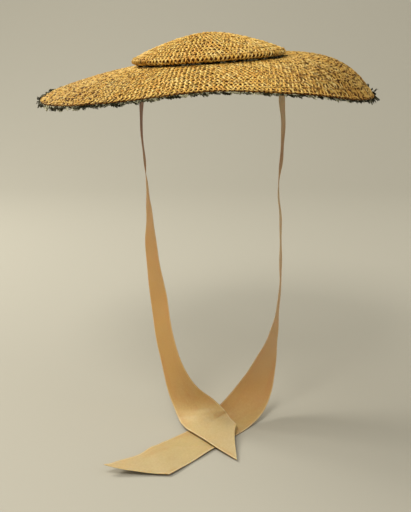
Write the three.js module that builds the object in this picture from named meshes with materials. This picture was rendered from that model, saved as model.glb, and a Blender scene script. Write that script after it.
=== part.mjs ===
import * as THREE from 'three';
import { mergeVertices } from 'three/addons/utils/BufferGeometryUtils.js';

// A wide straw hat with a low crown, frayed silk edgings and two silk ribbon ties.
// Millimetres, +Z up, +X to the wearer's left, -Y to the front. The origin is the middle
// of the head opening, level with the underside of the brim.

const seatGap = 0.3;

// Crown: a shallow cone with a rounded lip that overhangs a short neck
const strawWall = 2;
const headOpening = 146;
const seatLevel = 1.8;
const neckHeight = 2.8;
const lipWidth = 171;
const lipHeight = 7;
const crownHeight = 29.4;
const crownBow = 1.65;
const crownRoll = 3.9;
const crownPitch = 3.2;
const crownSides = 54;
const crownSteps = 8;
const lipOuterTurns = [50, 15, -20, -55, -90];
const lipInnerTurns = [-90, 0, 60];

// Brim
const brimWidth = 371;
const brimDepth = 360;
const brimDrop = 38;
const brimSwell = 6;
const brimSides = 88;
const brimSteps = 7;

// Frayed silk under the edge of the brim and round the neck of the crown
const edgingInset = 8;
const edgingThickness = 1.2;
const lockLength = 6.5;
const lockDroop = 4;
const shortLock = 0.25;
const longLock = 0.6;
const bandThickness = 2;
const bandEdge = 0.5;
const bandDepth = 6;
const bandTail = 10;
const bandTailAngle = 338;
const bandTailSpread = 22;
const bandLocks = 60;
const shortBandLock = 0.55;
const longBandLock = 0.75;

// Ribbons
const ribbonWidth = 50;
const ribbonThickness = 1;
const ribbonSpread = 78;
const ribbonFall = 395;
const tailReach = 200;
const rightCut = 34;
const leftCut = 50;
const ribbonSteps = 4;
const ribbonColumns = 3;
const sewnGap = 0.45;

const strawColour = 0xc0984f;
const silkColour = 0xb8925a;
const frayedColour = 0x2a2c24;

// The brim by the angle round from the wearer's left over the back: reach and drop of its edge,
// the bow of its fall, 1 straight and more for late and round, and how much it swells upwards.
const brimStations = [
  { angle: 0, reach: 0.99, drop: 0.9, bow: 4, swell: 0.5 },
  { angle: 30, reach: 1, drop: 0.74, bow: 3.4, swell: 1 },
  { angle: 60, reach: 1, drop: 0.46, bow: 2.4, swell: 1 },
  { angle: 90, reach: 1, drop: 0.32, bow: 2, swell: 0.5 },
  { angle: 120, reach: 1, drop: 0.5, bow: 1.7, swell: 0 },
  { angle: 150, reach: 1, drop: 0.8, bow: 1.4, swell: 0 },
  { angle: 180, reach: 1.01, drop: 1, bow: 1.25, swell: 0 },
  { angle: 210, reach: 1.01, drop: 0.9, bow: 1.25, swell: 0 },
  { angle: 240, reach: 1, drop: 0.59, bow: 1.4, swell: 0 },
  { angle: 270, reach: 1, drop: 0.25, bow: 1.7, swell: 0 },
  { angle: 300, reach: 1, drop: 0.39, bow: 2.4, swell: 0 },
  { angle: 330, reach: 0.99, drop: 0.76, bow: 3.4, swell: 0.3 },
];

// The middle line of each ribbon, from its sewn end to its cut end. side is a share of
// ribbonSpread, front of tailReach and fall of ribbonFall. sewn is 1 flat under the brim and
// 0 free. turn swings the width from pointing forwards, lift tips it up, in degrees.
const rightRibbonPath = [
  { side: -1.2, front: -0.04, fall: 0.02, sewn: 1, turn: 3, lift: 0 },
  { side: -1.02, front: -0.04, fall: 0.02, sewn: 1, turn: 3, lift: 0 },
  { side: -0.965, front: -0.04, fall: 0.04, sewn: 0, turn: 3, lift: 5 },
  { side: -0.97, front: -0.03, fall: 0.1, sewn: 0, turn: 3, lift: 7 },
  { side: -0.985, front: -0.01, fall: 0.18, sewn: 0, turn: 2, lift: 8 },
  { side: -0.94, front: 0.02, fall: 0.27, sewn: 0, turn: 2, lift: 10 },
  { side: -0.9, front: 0.05, fall: 0.355, sewn: 0, turn: 5, lift: 12 },
  { side: -0.875, front: 0.08, fall: 0.43, sewn: 0, turn: 12, lift: 14 },
  { side: -0.84, front: 0.13, fall: 0.53, sewn: 0, turn: 19, lift: 17 },
  { side: -0.73, front: 0.21, fall: 0.66, sewn: 0, turn: 27, lift: 21 },
  { side: -0.59, front: 0.31, fall: 0.785, sewn: 0, turn: 33, lift: 26 },
  { side: -0.4, front: 0.4, fall: 0.89, sewn: 0, turn: 45, lift: 31 },
  { side: -0.21, front: 0.45, fall: 0.945, sewn: 0, turn: 72, lift: 30 },
  { side: -0.065, front: 0.505, fall: 0.97, sewn: 0, turn: 103, lift: 17 },
  { side: 0.07, front: 0.565, fall: 0.981, sewn: 0, turn: 130, lift: 6 },
  { side: 0.48, front: 0.8, fall: 0.992, sewn: 0, turn: 160, lift: 4 },
];
const leftRibbonPath = [
  { side: 1.3, front: -0.06, fall: -0.01, sewn: 1, turn: -8, lift: 0 },
  { side: 1.12, front: -0.06, fall: -0.01, sewn: 1, turn: -8, lift: 0 },
  { side: 1.055, front: -0.05, fall: 0.015, sewn: 0, turn: -10, lift: 5 },
  { side: 1.06, front: -0.03, fall: 0.095, sewn: 0, turn: -11, lift: 7 },
  { side: 1.08, front: -0.01, fall: 0.18, sewn: 0, turn: -10, lift: 8 },
  { side: 1.06, front: 0.015, fall: 0.27, sewn: 0, turn: -7, lift: 9 },
  { side: 1.02, front: 0.035, fall: 0.355, sewn: 0, turn: -6, lift: 10 },
  { side: 1.05, front: 0.06, fall: 0.435, sewn: 0, turn: -6, lift: 11 },
  { side: 1.06, front: 0.1, fall: 0.53, sewn: 0, turn: -7, lift: 13 },
  { side: 1.05, front: 0.145, fall: 0.63, sewn: 0, turn: -7, lift: 15 },
  { side: 1.0, front: 0.195, fall: 0.725, sewn: 0, turn: -9, lift: 19 },
  { side: 0.92, front: 0.24, fall: 0.795, sewn: 0, turn: -22, lift: 23 },
  { side: 0.775, front: 0.295, fall: 0.875, sewn: 0, turn: -43, lift: 25 },
  { side: 0.575, front: 0.36, fall: 0.945, sewn: 0, turn: -73, lift: 21 },
  { side: 0.265, front: 0.47, fall: 0.993, sewn: 0, turn: -103, lift: 5 },
  { side: -0.12, front: 0.66, fall: 0.997, sewn: 0, turn: -118, lift: 1 },
  { side: -0.46, front: 0.84, fall: 0.993, sewn: 0, turn: -126, lift: 4 },
  { side: -0.77, front: 1.0, fall: 0.991, sewn: 0, turn: -130, lift: 4 },
  { side: -1.16, front: 1.12, fall: 0.99, sewn: 0, turn: -121, lift: 4 },
];

const radians = THREE.MathUtils.degToRad;
const openingRadius = headOpening / 2;
const neckRadius = openingRadius + strawWall;
const lipRadius = lipWidth / 2;
const rollSlope = Math.tan(radians(crownRoll));
const pitchSlope = Math.tan(radians(crownPitch));
const goldenShare = 0.618034;
const brimProbe = 0.5;
const ribbonProbe = 0.05;

// Length of a lock of frayed silk: every second one short, the others scattered up to 1
function lockShare(count, short, long) {
  const scatter = (count * goldenShare) % 1;
  return count % 2 ? short : long + (1 - long) * scatter;
}

// Value of a column between four neighbouring rows, smooth through the middle two
function smoothColumn(rows, column, share) {
  const [a, b, c, d] = rows.map((row) => row[column]);
  const bend = share * (1 - share);
  const straight = b + (c - b) * share;
  return straight + bend * ((1 - share) * (c - a - 2 * (c - b)) - share * (d - b - 2 * (c - b))) / 2;
}

// A row of the brim table at any angle, in degrees
function brimStation(angle) {
  const count = brimStations.length;
  const place = ((angle / 360) % 1 + 1) % 1 * count;
  const first = Math.floor(place);
  const rows = [-1, 0, 1, 2].map((step) => brimStations[(first + step + count) % count]);
  const at = (column) => smoothColumn(rows, column, place - first);
  return { reach: at('reach'), drop: at('drop'), bow: at('bow'), swell: at('swell') };
}

// The straw edge of the brim seen from above: an oval
function edgeRadius(angle, station) {
  const across = Math.cos(radians(angle)) / (brimWidth / 2);
  const along = Math.sin(radians(angle)) / (brimDepth / 2);
  return station.reach / Math.hypot(across, along);
}

// Height of the slanted plane that the crown stands on, at an angle and a radius
function seatHeight(angle, radius) {
  const slope = rollSlope * Math.cos(radians(angle)) - pitchSlope * Math.sin(radians(angle));
  return seatLevel + slope * radius;
}

// Height of the brim's upper face at a radius
function brimHeight(angle, radius) {
  const station = brimStation(angle);
  const seat = seatHeight(angle, Math.min(radius, neckRadius)) - seatGap;
  const share = Math.max(0, (radius - neckRadius) / (edgeRadius(angle, station) - neckRadius));
  const fall = (seat + station.drop * brimDrop) * share ** station.bow;
  return seat - fall + station.swell * brimSwell * Math.sin(Math.PI * Math.min(share, 1));
}

function polar(angle, radius, height) {
  return new THREE.Vector3(
    Math.cos(radians(angle)) * radius,
    Math.sin(radians(angle)) * radius,
    height,
  );
}

// Unit normal of the brim's upper face, and a point below that face by a depth
function brimNormal(angle, radius) {
  const face = (turn, reach) => polar(turn, reach, brimHeight(turn, reach));
  const outwards = face(angle, radius + brimProbe).sub(face(angle, radius - brimProbe));
  const round = face(angle + brimProbe, radius).sub(face(angle - brimProbe, radius));
  return outwards.cross(round).normalize();
}

function underBrim(angle, radius, depth) {
  return polar(angle, radius, brimHeight(angle, radius))
    .addScaledVector(brimNormal(angle, radius), -depth);
}

// A closed solid through cross-sections of equally many points, ringed or capped at its ends
function loft(sections, ringed) {
  const size = sections[0].length;
  const positions = sections.flat().flatMap((point) => [point.x, point.y, point.z]);
  const index = [];
  const quad = (a, b, c, d) => index.push(a, b, c, a, c, d);
  const spans = ringed ? sections.length : sections.length - 1;
  for (let span = 0; span < spans; span += 1) {
    const here = span * size;
    const next = ((span + 1) % sections.length) * size;
    for (let k = 0; k < size; k += 1) {
      const side = (k + 1) % size;
      quad(here + k, next + k, next + side, here + side);
    }
  }
  if (!ringed) {
    const end = (sections.length - 1) * size;
    for (let k = 0; k + 1 < size / 2; k += 1) {
      quad(k, k + 1, size - 2 - k, size - 1 - k);
      quad(end + size - 1 - k, end + size - 2 - k, end + k + 1, end + k);
    }
  }
  const geometry = new THREE.BufferGeometry();
  geometry.setAttribute('position', new THREE.Float32BufferAttribute(positions, 3));
  geometry.setIndex(index);
  geometry.computeVertexNormals();
  return geometry;
}

// Cross-sections at equal angles all the way round, from last to first so that faces point out
function ringOf(count, sectionAt) {
  const sections = Array.from({ length: count }, (_, k) => sectionAt((k / count) * 360, k));
  return loft(sections.reverse(), true);
}

function crownGeometry() {
  const round = lipHeight / 2;
  const coneTop = neckHeight + crownHeight;
  const coneFall = crownHeight - lipHeight;
  const profile = [];
  const add = (radius, height) => profile.push(new THREE.Vector2(radius, height));
  const cone = (share, inset) => {
    const radius = (lipRadius - round) * share;
    add(radius, coneTop - inset - coneFall * share ** crownBow);
  };
  const lip = (turn, bend) => add(
    lipRadius - round + bend * Math.cos(radians(turn)),
    neckHeight + round + bend * Math.sin(radians(turn)),
  );
  for (let k = 0; k <= crownSteps; k += 1) cone(k / crownSteps, 0);
  for (const turn of lipOuterTurns) lip(turn, round);
  add(neckRadius, neckHeight);
  add(neckRadius, 0);
  add(openingRadius, 0);
  add(openingRadius, neckHeight + strawWall);
  for (const turn of lipInnerTurns) lip(turn, round - strawWall);
  for (let k = crownSteps - 1; k >= 0; k -= 1) cone(k / crownSteps, strawWall);
  const lathe = new THREE.LatheGeometry(profile.reverse(), crownSides);
  lathe.rotateX(Math.PI / 2);
  lathe.deleteAttribute('normal');
  lathe.deleteAttribute('uv');
  const merged = mergeVertices(lathe, 1e-3);
  merged.computeVertexNormals();
  return merged;
}

function brimGeometry() {
  return ringOf(brimSides, (angle) => {
    const reach = edgeRadius(angle, brimStation(angle));
    const radii = [openingRadius];
    for (let k = 0; k <= brimSteps; k += 1) {
      radii.push(THREE.MathUtils.lerp(neckRadius, reach - edgingInset, k / brimSteps));
    }
    radii.push(reach);
    const upper = radii.map((radius) => underBrim(angle, radius, 0));
    const lower = radii.map((radius) => underBrim(angle, radius, strawWall)).reverse();
    return [...upper, ...lower];
  });
}

// A frayed strip sewn under the edge: a backing with a lock for each side of the brim
function edgingGeometry() {
  const top = strawWall + seatGap;
  return ringOf(brimSides * 2, (angle, k) => {
    const reach = edgeRadius(angle, brimStation(angle));
    const lock = lockShare(k, shortLock, longLock);
    const edge = underBrim(angle, reach, top);
    const tip = edge.clone().add(polar(angle, lock * lockLength, -lock * lockDroop));
    return [
      underBrim(angle, reach - edgingInset, top),
      edge,
      tip,
      tip.clone().add(polar(angle, 0, -edgingThickness / 2)),
      underBrim(angle, reach, top + edgingThickness),
      underBrim(angle, reach - edgingInset, top + edgingThickness),
    ];
  });
}

// A frayed strip wound round the neck, under the lip, with its loose end fanned out on one side
function bandGeometry() {
  const inner = neckRadius + seatGap;
  return ringOf(bandLocks * 2, (angle, k) => {
    const away = (((angle - bandTailAngle) % 360) + 540) % 360 - 180;
    const tail = bandTail * Math.exp(-((away / bandTailSpread) ** 2));
    const lock = lockShare(k, shortBandLock, longBandLock);
    const outer = inner + lock * (bandDepth + tail);
    const at = (radius, height) => polar(angle, radius, height + seatHeight(angle, radius));
    return [
      at(inner, (neckHeight + bandThickness) / 2),
      at(outer, neckHeight / 2 + bandEdge),
      at(outer, neckHeight / 2 - bandEdge),
      at(inner, (neckHeight - bandThickness) / 2),
    ];
  });
}

// One tie, cut slantwise at its free end by a length off the edge at shortSide, -1 or 1
function ribbonGeometry(table, cut, shortSide) {
  const half = ribbonWidth / 2;
  const rowsAt = (first) => [-1, 0, 1, 2].map(
    (step) => table[THREE.MathUtils.clamp(first + step, 0, table.length - 1)],
  );
  const pose = (place) => {
    const first = Math.min(Math.floor(place), table.length - 2);
    const at = (column) => smoothColumn(rowsAt(first), column, place - first);
    const turn = radians(at('turn'));
    const lift = radians(at('lift'));
    return {
      middle: new THREE.Vector3(
        at('side') * ribbonSpread,
        -at('front') * tailReach,
        -at('fall') * ribbonFall,
      ),
      across: new THREE.Vector3(
        Math.sin(turn) * Math.cos(lift),
        -Math.cos(turn) * Math.cos(lift),
        Math.sin(lift),
      ),
      sewn: THREE.MathUtils.clamp(at('sewn'), 0, 1),
    };
  };
  const lastSpan = new THREE.Vector3();
  lastSpan.subVectors(pose(table.length - 1).middle, pose(table.length - 2).middle);
  const cutRows = cut / lastSpan.length();
  // Ribbon point by its place along the table and across from -1 to 1
  const surface = (place, across) => {
    const { middle, across: width, sewn } = pose(place);
    const point = middle.addScaledVector(width, across * half);
    const angle = THREE.MathUtils.radToDeg(Math.atan2(point.y, point.x));
    const depth = strawWall + sewnGap + ribbonThickness / 2;
    const seat = underBrim(angle, Math.hypot(point.x, point.y), depth);
    point.z = THREE.MathUtils.lerp(point.z, seat.z, sewn);
    return point;
  };
  const sections = [];
  const count = (table.length - 1) * ribbonSteps;
  for (let row = 0; row <= count; row += 1) {
    const upper = [];
    const lower = [];
    for (let column = 0; column <= ribbonColumns; column += 1) {
      const across = (column / ribbonColumns) * 2 - 1;
      const end = table.length - 1 - (cutRows * (1 + shortSide * across)) / 2;
      const place = (row / count) * end;
      const ahead = surface(Math.min(place + ribbonProbe, end), across);
      const behind = surface(Math.max(place - ribbonProbe, 0), across);
      const nearSide = surface(place, Math.max(across - ribbonProbe, -1));
      const farSide = surface(place, Math.min(across + ribbonProbe, 1));
      const normal = ahead.sub(behind).cross(farSide.sub(nearSide)).normalize();
      const point = surface(place, across);
      upper.push(point.clone().addScaledVector(normal, ribbonThickness / 2));
      lower.unshift(point.clone().addScaledVector(normal, -ribbonThickness / 2));
    }
    sections.push([...upper, ...lower]);
  }
  return loft(sections, false);
}

function piece(name, geometry, colour, roughness) {
  const material = new THREE.MeshStandardMaterial({ color: colour, roughness, metalness: 0 });
  const mesh = new THREE.Mesh(geometry, material);
  mesh.name = name;
  return mesh;
}

const hat = new THREE.Group();
const crown = piece('crown', crownGeometry(), strawColour, 0.7);
const crownAxis = new THREE.Vector3(-rollSlope, pitchSlope, 1).normalize();
crown.quaternion.setFromUnitVectors(new THREE.Vector3(0, 0, 1), crownAxis);
crown.position.z = seatLevel;
hat.add(crown);
hat.add(piece('brim', brimGeometry(), strawColour, 0.7));
hat.add(piece('crown_band', bandGeometry(), frayedColour, 0.9));
hat.add(piece('brim_edging', edgingGeometry(), frayedColour, 0.9));
hat.add(piece('ribbon_right', ribbonGeometry(rightRibbonPath, rightCut, 1), silkColour, 0.5));
hat.add(piece('ribbon_left', ribbonGeometry(leftRibbonPath, leftCut, -1), silkColour, 0.5));

export default hat;
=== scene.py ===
import math

import bmesh
import bpy
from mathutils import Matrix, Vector


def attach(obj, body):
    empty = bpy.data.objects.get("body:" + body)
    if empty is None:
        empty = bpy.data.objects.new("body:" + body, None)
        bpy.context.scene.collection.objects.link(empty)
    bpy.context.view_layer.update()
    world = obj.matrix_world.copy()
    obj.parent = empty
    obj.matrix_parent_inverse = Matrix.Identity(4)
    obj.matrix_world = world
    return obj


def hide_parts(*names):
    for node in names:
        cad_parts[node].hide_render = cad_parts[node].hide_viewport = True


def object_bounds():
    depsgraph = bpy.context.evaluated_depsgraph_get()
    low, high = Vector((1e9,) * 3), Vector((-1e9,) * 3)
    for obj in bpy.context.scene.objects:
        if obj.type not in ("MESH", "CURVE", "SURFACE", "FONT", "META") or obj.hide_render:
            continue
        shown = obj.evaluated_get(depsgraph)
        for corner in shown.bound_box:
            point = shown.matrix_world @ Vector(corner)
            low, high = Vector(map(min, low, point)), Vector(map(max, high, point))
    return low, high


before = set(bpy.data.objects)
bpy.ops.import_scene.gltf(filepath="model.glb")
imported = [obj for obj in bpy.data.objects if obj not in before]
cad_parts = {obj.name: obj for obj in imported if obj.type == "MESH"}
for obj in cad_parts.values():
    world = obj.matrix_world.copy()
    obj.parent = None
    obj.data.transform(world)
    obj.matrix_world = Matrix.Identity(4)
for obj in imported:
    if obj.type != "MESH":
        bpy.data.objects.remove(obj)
cadLow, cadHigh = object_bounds()
collection = bpy.context.scene.collection

# Metres, +Z up, +X to the wearer's left, -Y to the front, origin in the middle of the head opening.
# A turn runs from 0 to 1 round the hat, from the wearer's left over the back.

crownShape = {
    "openingRadius": 0.073,
    "neckRadius": 0.075,
    "neckHeight": 0.0028,
    "neckFoot": -0.0005,
    "lipRadius": 0.0855,
    "lipRound": 0.0035,
    "lipSteps": 12,
    "height": 0.0294,
    "topSteps": 48,
    "bow": 1.65,
    "seatLevel": 0.0018,
    "roll": 3.9,  # degrees, higher on the wearer's left
    "pitch": 3.2,  # degrees, higher in front
}

brimShape = {
    "wall": 0.002,
    "width": 0.371,
    "depth": 0.360,
    "drop": 0.038,
    "swell": 0.006,
    "seatGap": 0.0003,
    # shares of the sizes above, every 30 degrees of the turn
    "reach": [0.99, 1, 1, 1, 1, 1, 1.01, 1.01, 1, 1, 1, 0.99],
    "fall": [0.9, 0.74, 0.46, 0.32, 0.5, 0.8, 1, 0.9, 0.59, 0.25, 0.39, 0.76],
    "bow": [4, 3.4, 2.4, 2, 1.7, 1.4, 1.25, 1.25, 1.4, 1.7, 2.4, 3.4],
    "rise": [0.5, 1, 1, 0.5, 0, 0, 0, 0, 0, 0, 0, 0.3],
}


def mix(a, b, share):
    return a + (b - a) * share


def smoothBetween(a, b, c, d, share):
    # from b to c, with a and d as the neighbours that set the slopes
    bend = share * (1 - share)
    start, end = c - a - 2 * (c - b), d - b - 2 * (c - b)
    return mix(b, c, share) + bend * ((1 - share) * start - share * end) / 2


def roundTable(values, turn):
    place = (turn % 1) * len(values)
    first = int(place)
    near = [values[(first + step) % len(values)] for step in (-1, 0, 1, 2)]
    return smoothBetween(*near, place - first)


def roundVector(turn, radius, height=0):
    return Vector((math.cos(turn * math.tau) * radius, math.sin(turn * math.tau) * radius, height))


# Surfaces that the straw follows: u is the turn, v runs outwards from 0 to 1.

def edgeRadius(turn):
    angle = turn * math.tau
    halfWidth, halfDepth = brimShape["width"] / 2, brimShape["depth"] / 2
    oval = math.hypot(math.cos(angle) / halfWidth, math.sin(angle) / halfDepth)
    return roundTable(brimShape["reach"], turn) / oval


def seatHeight(turn, radius):
    # the slanted plane that the crown stands on
    slope = rollSlope * math.cos(turn * math.tau) - pitchSlope * math.sin(turn * math.tau)
    return crownShape["seatLevel"] + slope * radius


def brimHeight(turn, radius):
    neck = crownShape["neckRadius"]
    seat = seatHeight(turn, min(radius, neck)) - brimShape["seatGap"]
    share = max(0, (radius - neck) / (edgeRadius(turn) - neck))
    drop = roundTable(brimShape["fall"], turn) * brimShape["drop"]
    rise = roundTable(brimShape["rise"], turn) * brimShape["swell"]
    fall = (seat + drop) * share ** roundTable(brimShape["bow"], turn)
    return seat - fall + rise * math.sin(math.pi * min(share, 1))


def brimAt(turn, radius):
    return roundVector(turn, radius, brimHeight(turn, radius))


def brimPoint(u, v):
    return brimAt(u, mix(crownShape["openingRadius"], edgeRadius(u), v))


def crownProfile():
    # (radius, height) from the middle of the top, round the lip and down the neck
    lip, bend, neck = crownShape["lipRadius"], crownShape["lipRound"], crownShape["neckHeight"]
    top = neck + crownShape["height"]
    fall = crownShape["height"] - 2 * bend
    shares = [k / crownShape["topSteps"] for k in range(crownShape["topSteps"] + 1)]
    line = [((lip - bend) * share, top - fall * share ** crownShape["bow"]) for share in shares]
    for k in range(1, crownShape["lipSteps"] + 1):
        angle = math.radians(90 - 180 / crownShape["lipSteps"] * k)
        line.append((lip - bend + bend * math.cos(angle), neck + bend + bend * math.sin(angle)))
    return line + [(crownShape["neckRadius"], neck), (crownShape["neckRadius"], crownShape["neckFoot"])]


# sides round the hat and steps outwards, for the guides and the core
brimGrid = (180, 24)
crownGrid = (120, 60)
bandGrid = (120, 12)

rollSlope = math.tan(math.radians(crownShape["roll"]))
pitchSlope = math.tan(math.radians(crownShape["pitch"]))
crownTurn = Vector((0, 0, 1)).rotation_difference(Vector((-rollSlope, pitchSlope, 1)))
crownLine = crownProfile()
crownSpans = [math.dist(a, b) for a, b in zip(crownLine, crownLine[1:])]
crownLength = sum(crownSpans)


def crownPoint(u, v):
    left = min(v * crownLength, crownLength - 1e-7)
    for (a, b), span in zip(zip(crownLine, crownLine[1:]), crownSpans):
        if left <= span:
            break
        left -= span
    share = min(left / span, 1)
    point = roundVector(u, mix(a[0], b[0], share), mix(a[1], b[1], share))
    return crownTurn @ point + Vector((0, 0, crownShape["seatLevel"]))


def normalAt(pointAt, u, v):
    # up and out, from two short steps on the surface
    step = 0.004
    outwards = pointAt(u, min(v + step, 1)) - pointAt(u, max(v - step, 0.001))
    middle = max(v, 0.002)
    around = pointAt(u + step, middle) - pointAt(u - step, middle)
    return outwards.cross(around).normalized()


# Meshes: rings of points joined into a grid.

def gridMesh(name, rings, closedRound=True):
    points = [point for ring in rings for point in ring]
    size = len(rings[0])
    count = len(rings) if closedRound else len(rings) - 1
    faces = []
    for i in range(count):
        here, there = i * size, ((i + 1) % len(rings)) * size
        faces += [(here + j, here + j + 1, there + j + 1, there + j) for j in range(size - 1)]
    mesh = bpy.data.meshes.new(name)
    mesh.from_pydata(points, [], faces)
    return mesh


def mapGrid(mesh, facesInRing, uvAt):
    uvs = mesh.uv_layers.new(name="UVMap").data
    for face in mesh.polygons:
        i, j = divmod(face.index, facesInRing)
        corners = [(i, j), (i, j + 1), (i + 1, j + 1), (i + 1, j)]
        for loop, corner in zip(face.loop_indices, corners):
            uvs[loop].uv = uvAt(*corner)


def storeOnPoints(mesh, name, values, kind="FLOAT"):
    part = "vector" if kind == "FLOAT_VECTOR" else "value"
    mesh.attributes.new(name, kind, "POINT").data.foreach_set(part, values)


def closeMesh(mesh):
    # joins seams, fills open ends and turns the faces outwards
    work = bmesh.new()
    work.from_mesh(mesh)
    bmesh.ops.remove_doubles(work, verts=work.verts, dist=1e-6)
    bmesh.ops.holes_fill(work, edges=[edge for edge in work.edges if edge.is_boundary], sides=0)
    bmesh.ops.recalc_face_normals(work, faces=work.faces)
    for face in work.faces:
        face.smooth = True
    work.to_mesh(mesh)
    work.free()


def guideSurface(name, pointAt, grid, reachAt=lambda u: 1, perkAt=lambda u: 0):
    # an unseen surface that straws and threads are laid on, removed at the end
    sides, steps = grid
    rings, outwards, reaches, perks = [], [], [], []
    for i in range(sides):
        u = i / sides
        rings.append([pointAt(u, j / steps) for j in range(steps + 1)])
        outwards += [normalAt(pointAt, u, j / steps) for j in range(steps + 1)]
        reaches += [reachAt(u)] * (steps + 1)
        perks += [perkAt(u)] * (steps + 1)
    mesh = gridMesh(name, rings)
    mapGrid(mesh, steps, lambda a, b: (a / sides, b / steps))
    storeOnPoints(mesh, "outward", [part for normal in outwards for part in normal], "FLOAT_VECTOR")
    storeOnPoints(mesh, "reach", reaches)
    storeOnPoints(mesh, "perk", perks)
    guide = bpy.data.objects.new(name, mesh)
    collection.objects.link(guide)
    return guide


def dressPiece(piece, slotName, *replaced):
    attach(piece, "root")
    if replaced:
        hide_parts(*replaced)
    return piece


def addPiece(name, mesh, finish, *replaced):
    material, slotName = finish
    mesh.materials.append(material)
    piece = bpy.data.objects.new(name, mesh)
    collection.objects.link(piece)
    return dressPiece(piece, slotName, *replaced)


def shellPiece(name, pointAt, shell, finish, *replaced):
    # a closed ring between two depths under a surface
    sides, steps = shell["grid"]
    rings = []
    for i in range(sides):
        u = i / sides
        places = [(pointAt(u, j / steps), normalAt(pointAt, u, j / steps)) for j in range(steps + 1)]
        upper = [point - normal * shell["top"] for point, normal in places]
        lower = [point - normal * shell["bottom"] for point, normal in places]
        rings.append(upper + lower[::-1] + [upper[0]])
    mesh = gridMesh(name, rings)
    closeMesh(mesh)
    addPiece(name, mesh, finish, *replaced)


# Node helpers: a field is an output socket that adds and multiplies like a number.

class Field:
    def __init__(self, maker, socket):
        self.maker, self.socket = maker, socket

    def __add__(self, other):
        return self.maker.math("ADD", self, other)

    def __sub__(self, other):
        return self.maker.math("SUBTRACT", self, other)

    def __rsub__(self, other):
        return self.maker.math("SUBTRACT", other, self)

    def __mul__(self, other):
        return self.maker.math("MULTIPLY", self, other)

    def __truediv__(self, other):
        return self.maker.math("DIVIDE", self, other)

    def __mod__(self, other):
        return self.maker.math("FLOORED_MODULO", self, other)

    def __pow__(self, other):
        return self.maker.math("POWER", self, other)

    __radd__ = __add__
    __rmul__ = __mul__


class TreeMaker:
    def __init__(self, tree):
        self.tree = tree

    def plug(self, socket, value):
        if isinstance(value, Field):
            self.tree.links.new(value.socket, socket)
        else:
            socket.default_value = value

    def node(self, kind, inputs=None, output=0, **settings):
        made = self.tree.nodes.new(kind)
        for key, value in settings.items():
            setattr(made, key, value)
        for key, value in (inputs or {}).items():
            named = [socket for socket in made.inputs if socket.enabled and socket.name == key]
            self.plug(made.inputs[key] if isinstance(key, int) else named[0], value)
        outputs = [socket for socket in made.outputs if socket.enabled]
        return Field(self, outputs[output] if isinstance(output, int) else made.outputs[output])

    def math(self, operation, a, b=0.0):
        return self.node("ShaderNodeMath", {0: a, 1: b}, operation=operation)

    def vector(self, operation, a, b=(0.0, 0.0, 0.0)):
        return self.node("ShaderNodeVectorMath", {0: a, 1: b}, operation=operation)

    def scaled(self, vector, factor):
        return self.node("ShaderNodeVectorMath", {0: vector, "Scale": factor}, operation="SCALE")

    def combine(self, x=0.0, y=0.0, z=0.0):
        return self.node("ShaderNodeCombineXYZ", {0: x, 1: y, 2: z})

    def separate(self, vector):
        made = self.tree.nodes.new("ShaderNodeSeparateXYZ")
        self.plug(made.inputs[0], vector)
        return [Field(self, socket) for socket in made.outputs]

    def span(self, value, low, high):
        # 0 at low, 1 at high
        return self.node("ShaderNodeMapRange", {"Value": value, "From Min": low, "From Max": high})

    def attribute(self, name, kind="FLOAT"):
        return self.node("GeometryNodeInputNamedAttribute", {"Name": name}, data_type=kind)

    def store(self, geometry, name, value):
        inputs = {"Geometry": geometry, "Name": name, "Value": value}
        return self.node("GeometryNodeStoreNamedAttribute", inputs, data_type="FLOAT", domain="POINT")

    def random(self, low, high, seed):
        inputs = {"Min": low, "Max": high, "Seed": seed}
        return self.node("FunctionNodeRandomValue", inputs, data_type="FLOAT")

    def duplicate(self, points, amount):
        made = self.tree.nodes.new("GeometryNodeDuplicateElements")
        made.domain = "POINT"
        self.plug(made.inputs["Geometry"], points)
        self.plug(made.inputs["Amount"], amount)
        return Field(self, made.outputs["Geometry"]), Field(self, made.outputs["Duplicate Index"])


def startTree(name, inputs):
    tree = bpy.data.node_groups.new(name, "GeometryNodeTree")
    tree.is_modifier = True
    for kind, labels in inputs.items():
        for label in labels:
            tree.interface.new_socket(label, in_out="INPUT", socket_type="NodeSocket" + kind)
    tree.interface.new_socket("Geometry", in_out="OUTPUT", socket_type="NodeSocketGeometry")
    maker = TreeMaker(tree)
    source = tree.nodes.new("NodeGroupInput")
    given = {label: Field(maker, source.outputs[label]) for labels in inputs.values() for label in labels}
    return maker, given


def endTree(maker, geometry, material):
    smooth = maker.node("GeometryNodeSetShadeSmooth", {"Geometry": geometry, "Shade Smooth": True})
    real = maker.node("GeometryNodeRealizeInstances", {"Geometry": smooth})
    painted = maker.node("GeometryNodeSetMaterial", {"Geometry": real, "Material": material})
    output = maker.tree.nodes.new("NodeGroupOutput")
    maker.plug(output.inputs[0], painted)
    return maker.tree


def growTubes(maker, points, segments):
    # a three-sided tube of unit size on each point, and where its points lie in it
    tube = maker.node("GeometryNodeMeshCylinder", {
        "Vertices": 3, "Side Segments": segments, "Fill Segments": 1, "Radius": 1.0, "Depth": 1.0,
    })
    tubes = maker.node("GeometryNodeInstanceOnPoints", {"Points": points, "Instance": tube})
    tubes = maker.node("GeometryNodeRealizeInstances", {"Geometry": tubes})
    x, y, z = maker.separate(maker.node("GeometryNodeInputPosition"))
    along = z + 0.5
    return maker.store(tubes, "along", along), x, y, along


def sampleGuide(maker, surface, u, v, name, kind="FLOAT_VECTOR"):
    uv = maker.attribute("UVMap", "FLOAT_VECTOR")
    value = maker.node("GeometryNodeInputPosition") if name == "position" else maker.attribute(name, kind)
    inputs = {0: surface, 1: value, 2: uv, 3: maker.combine(u, v)}
    return maker.node("GeometryNodeSampleUVSurface", inputs, data_type=kind)


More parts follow.
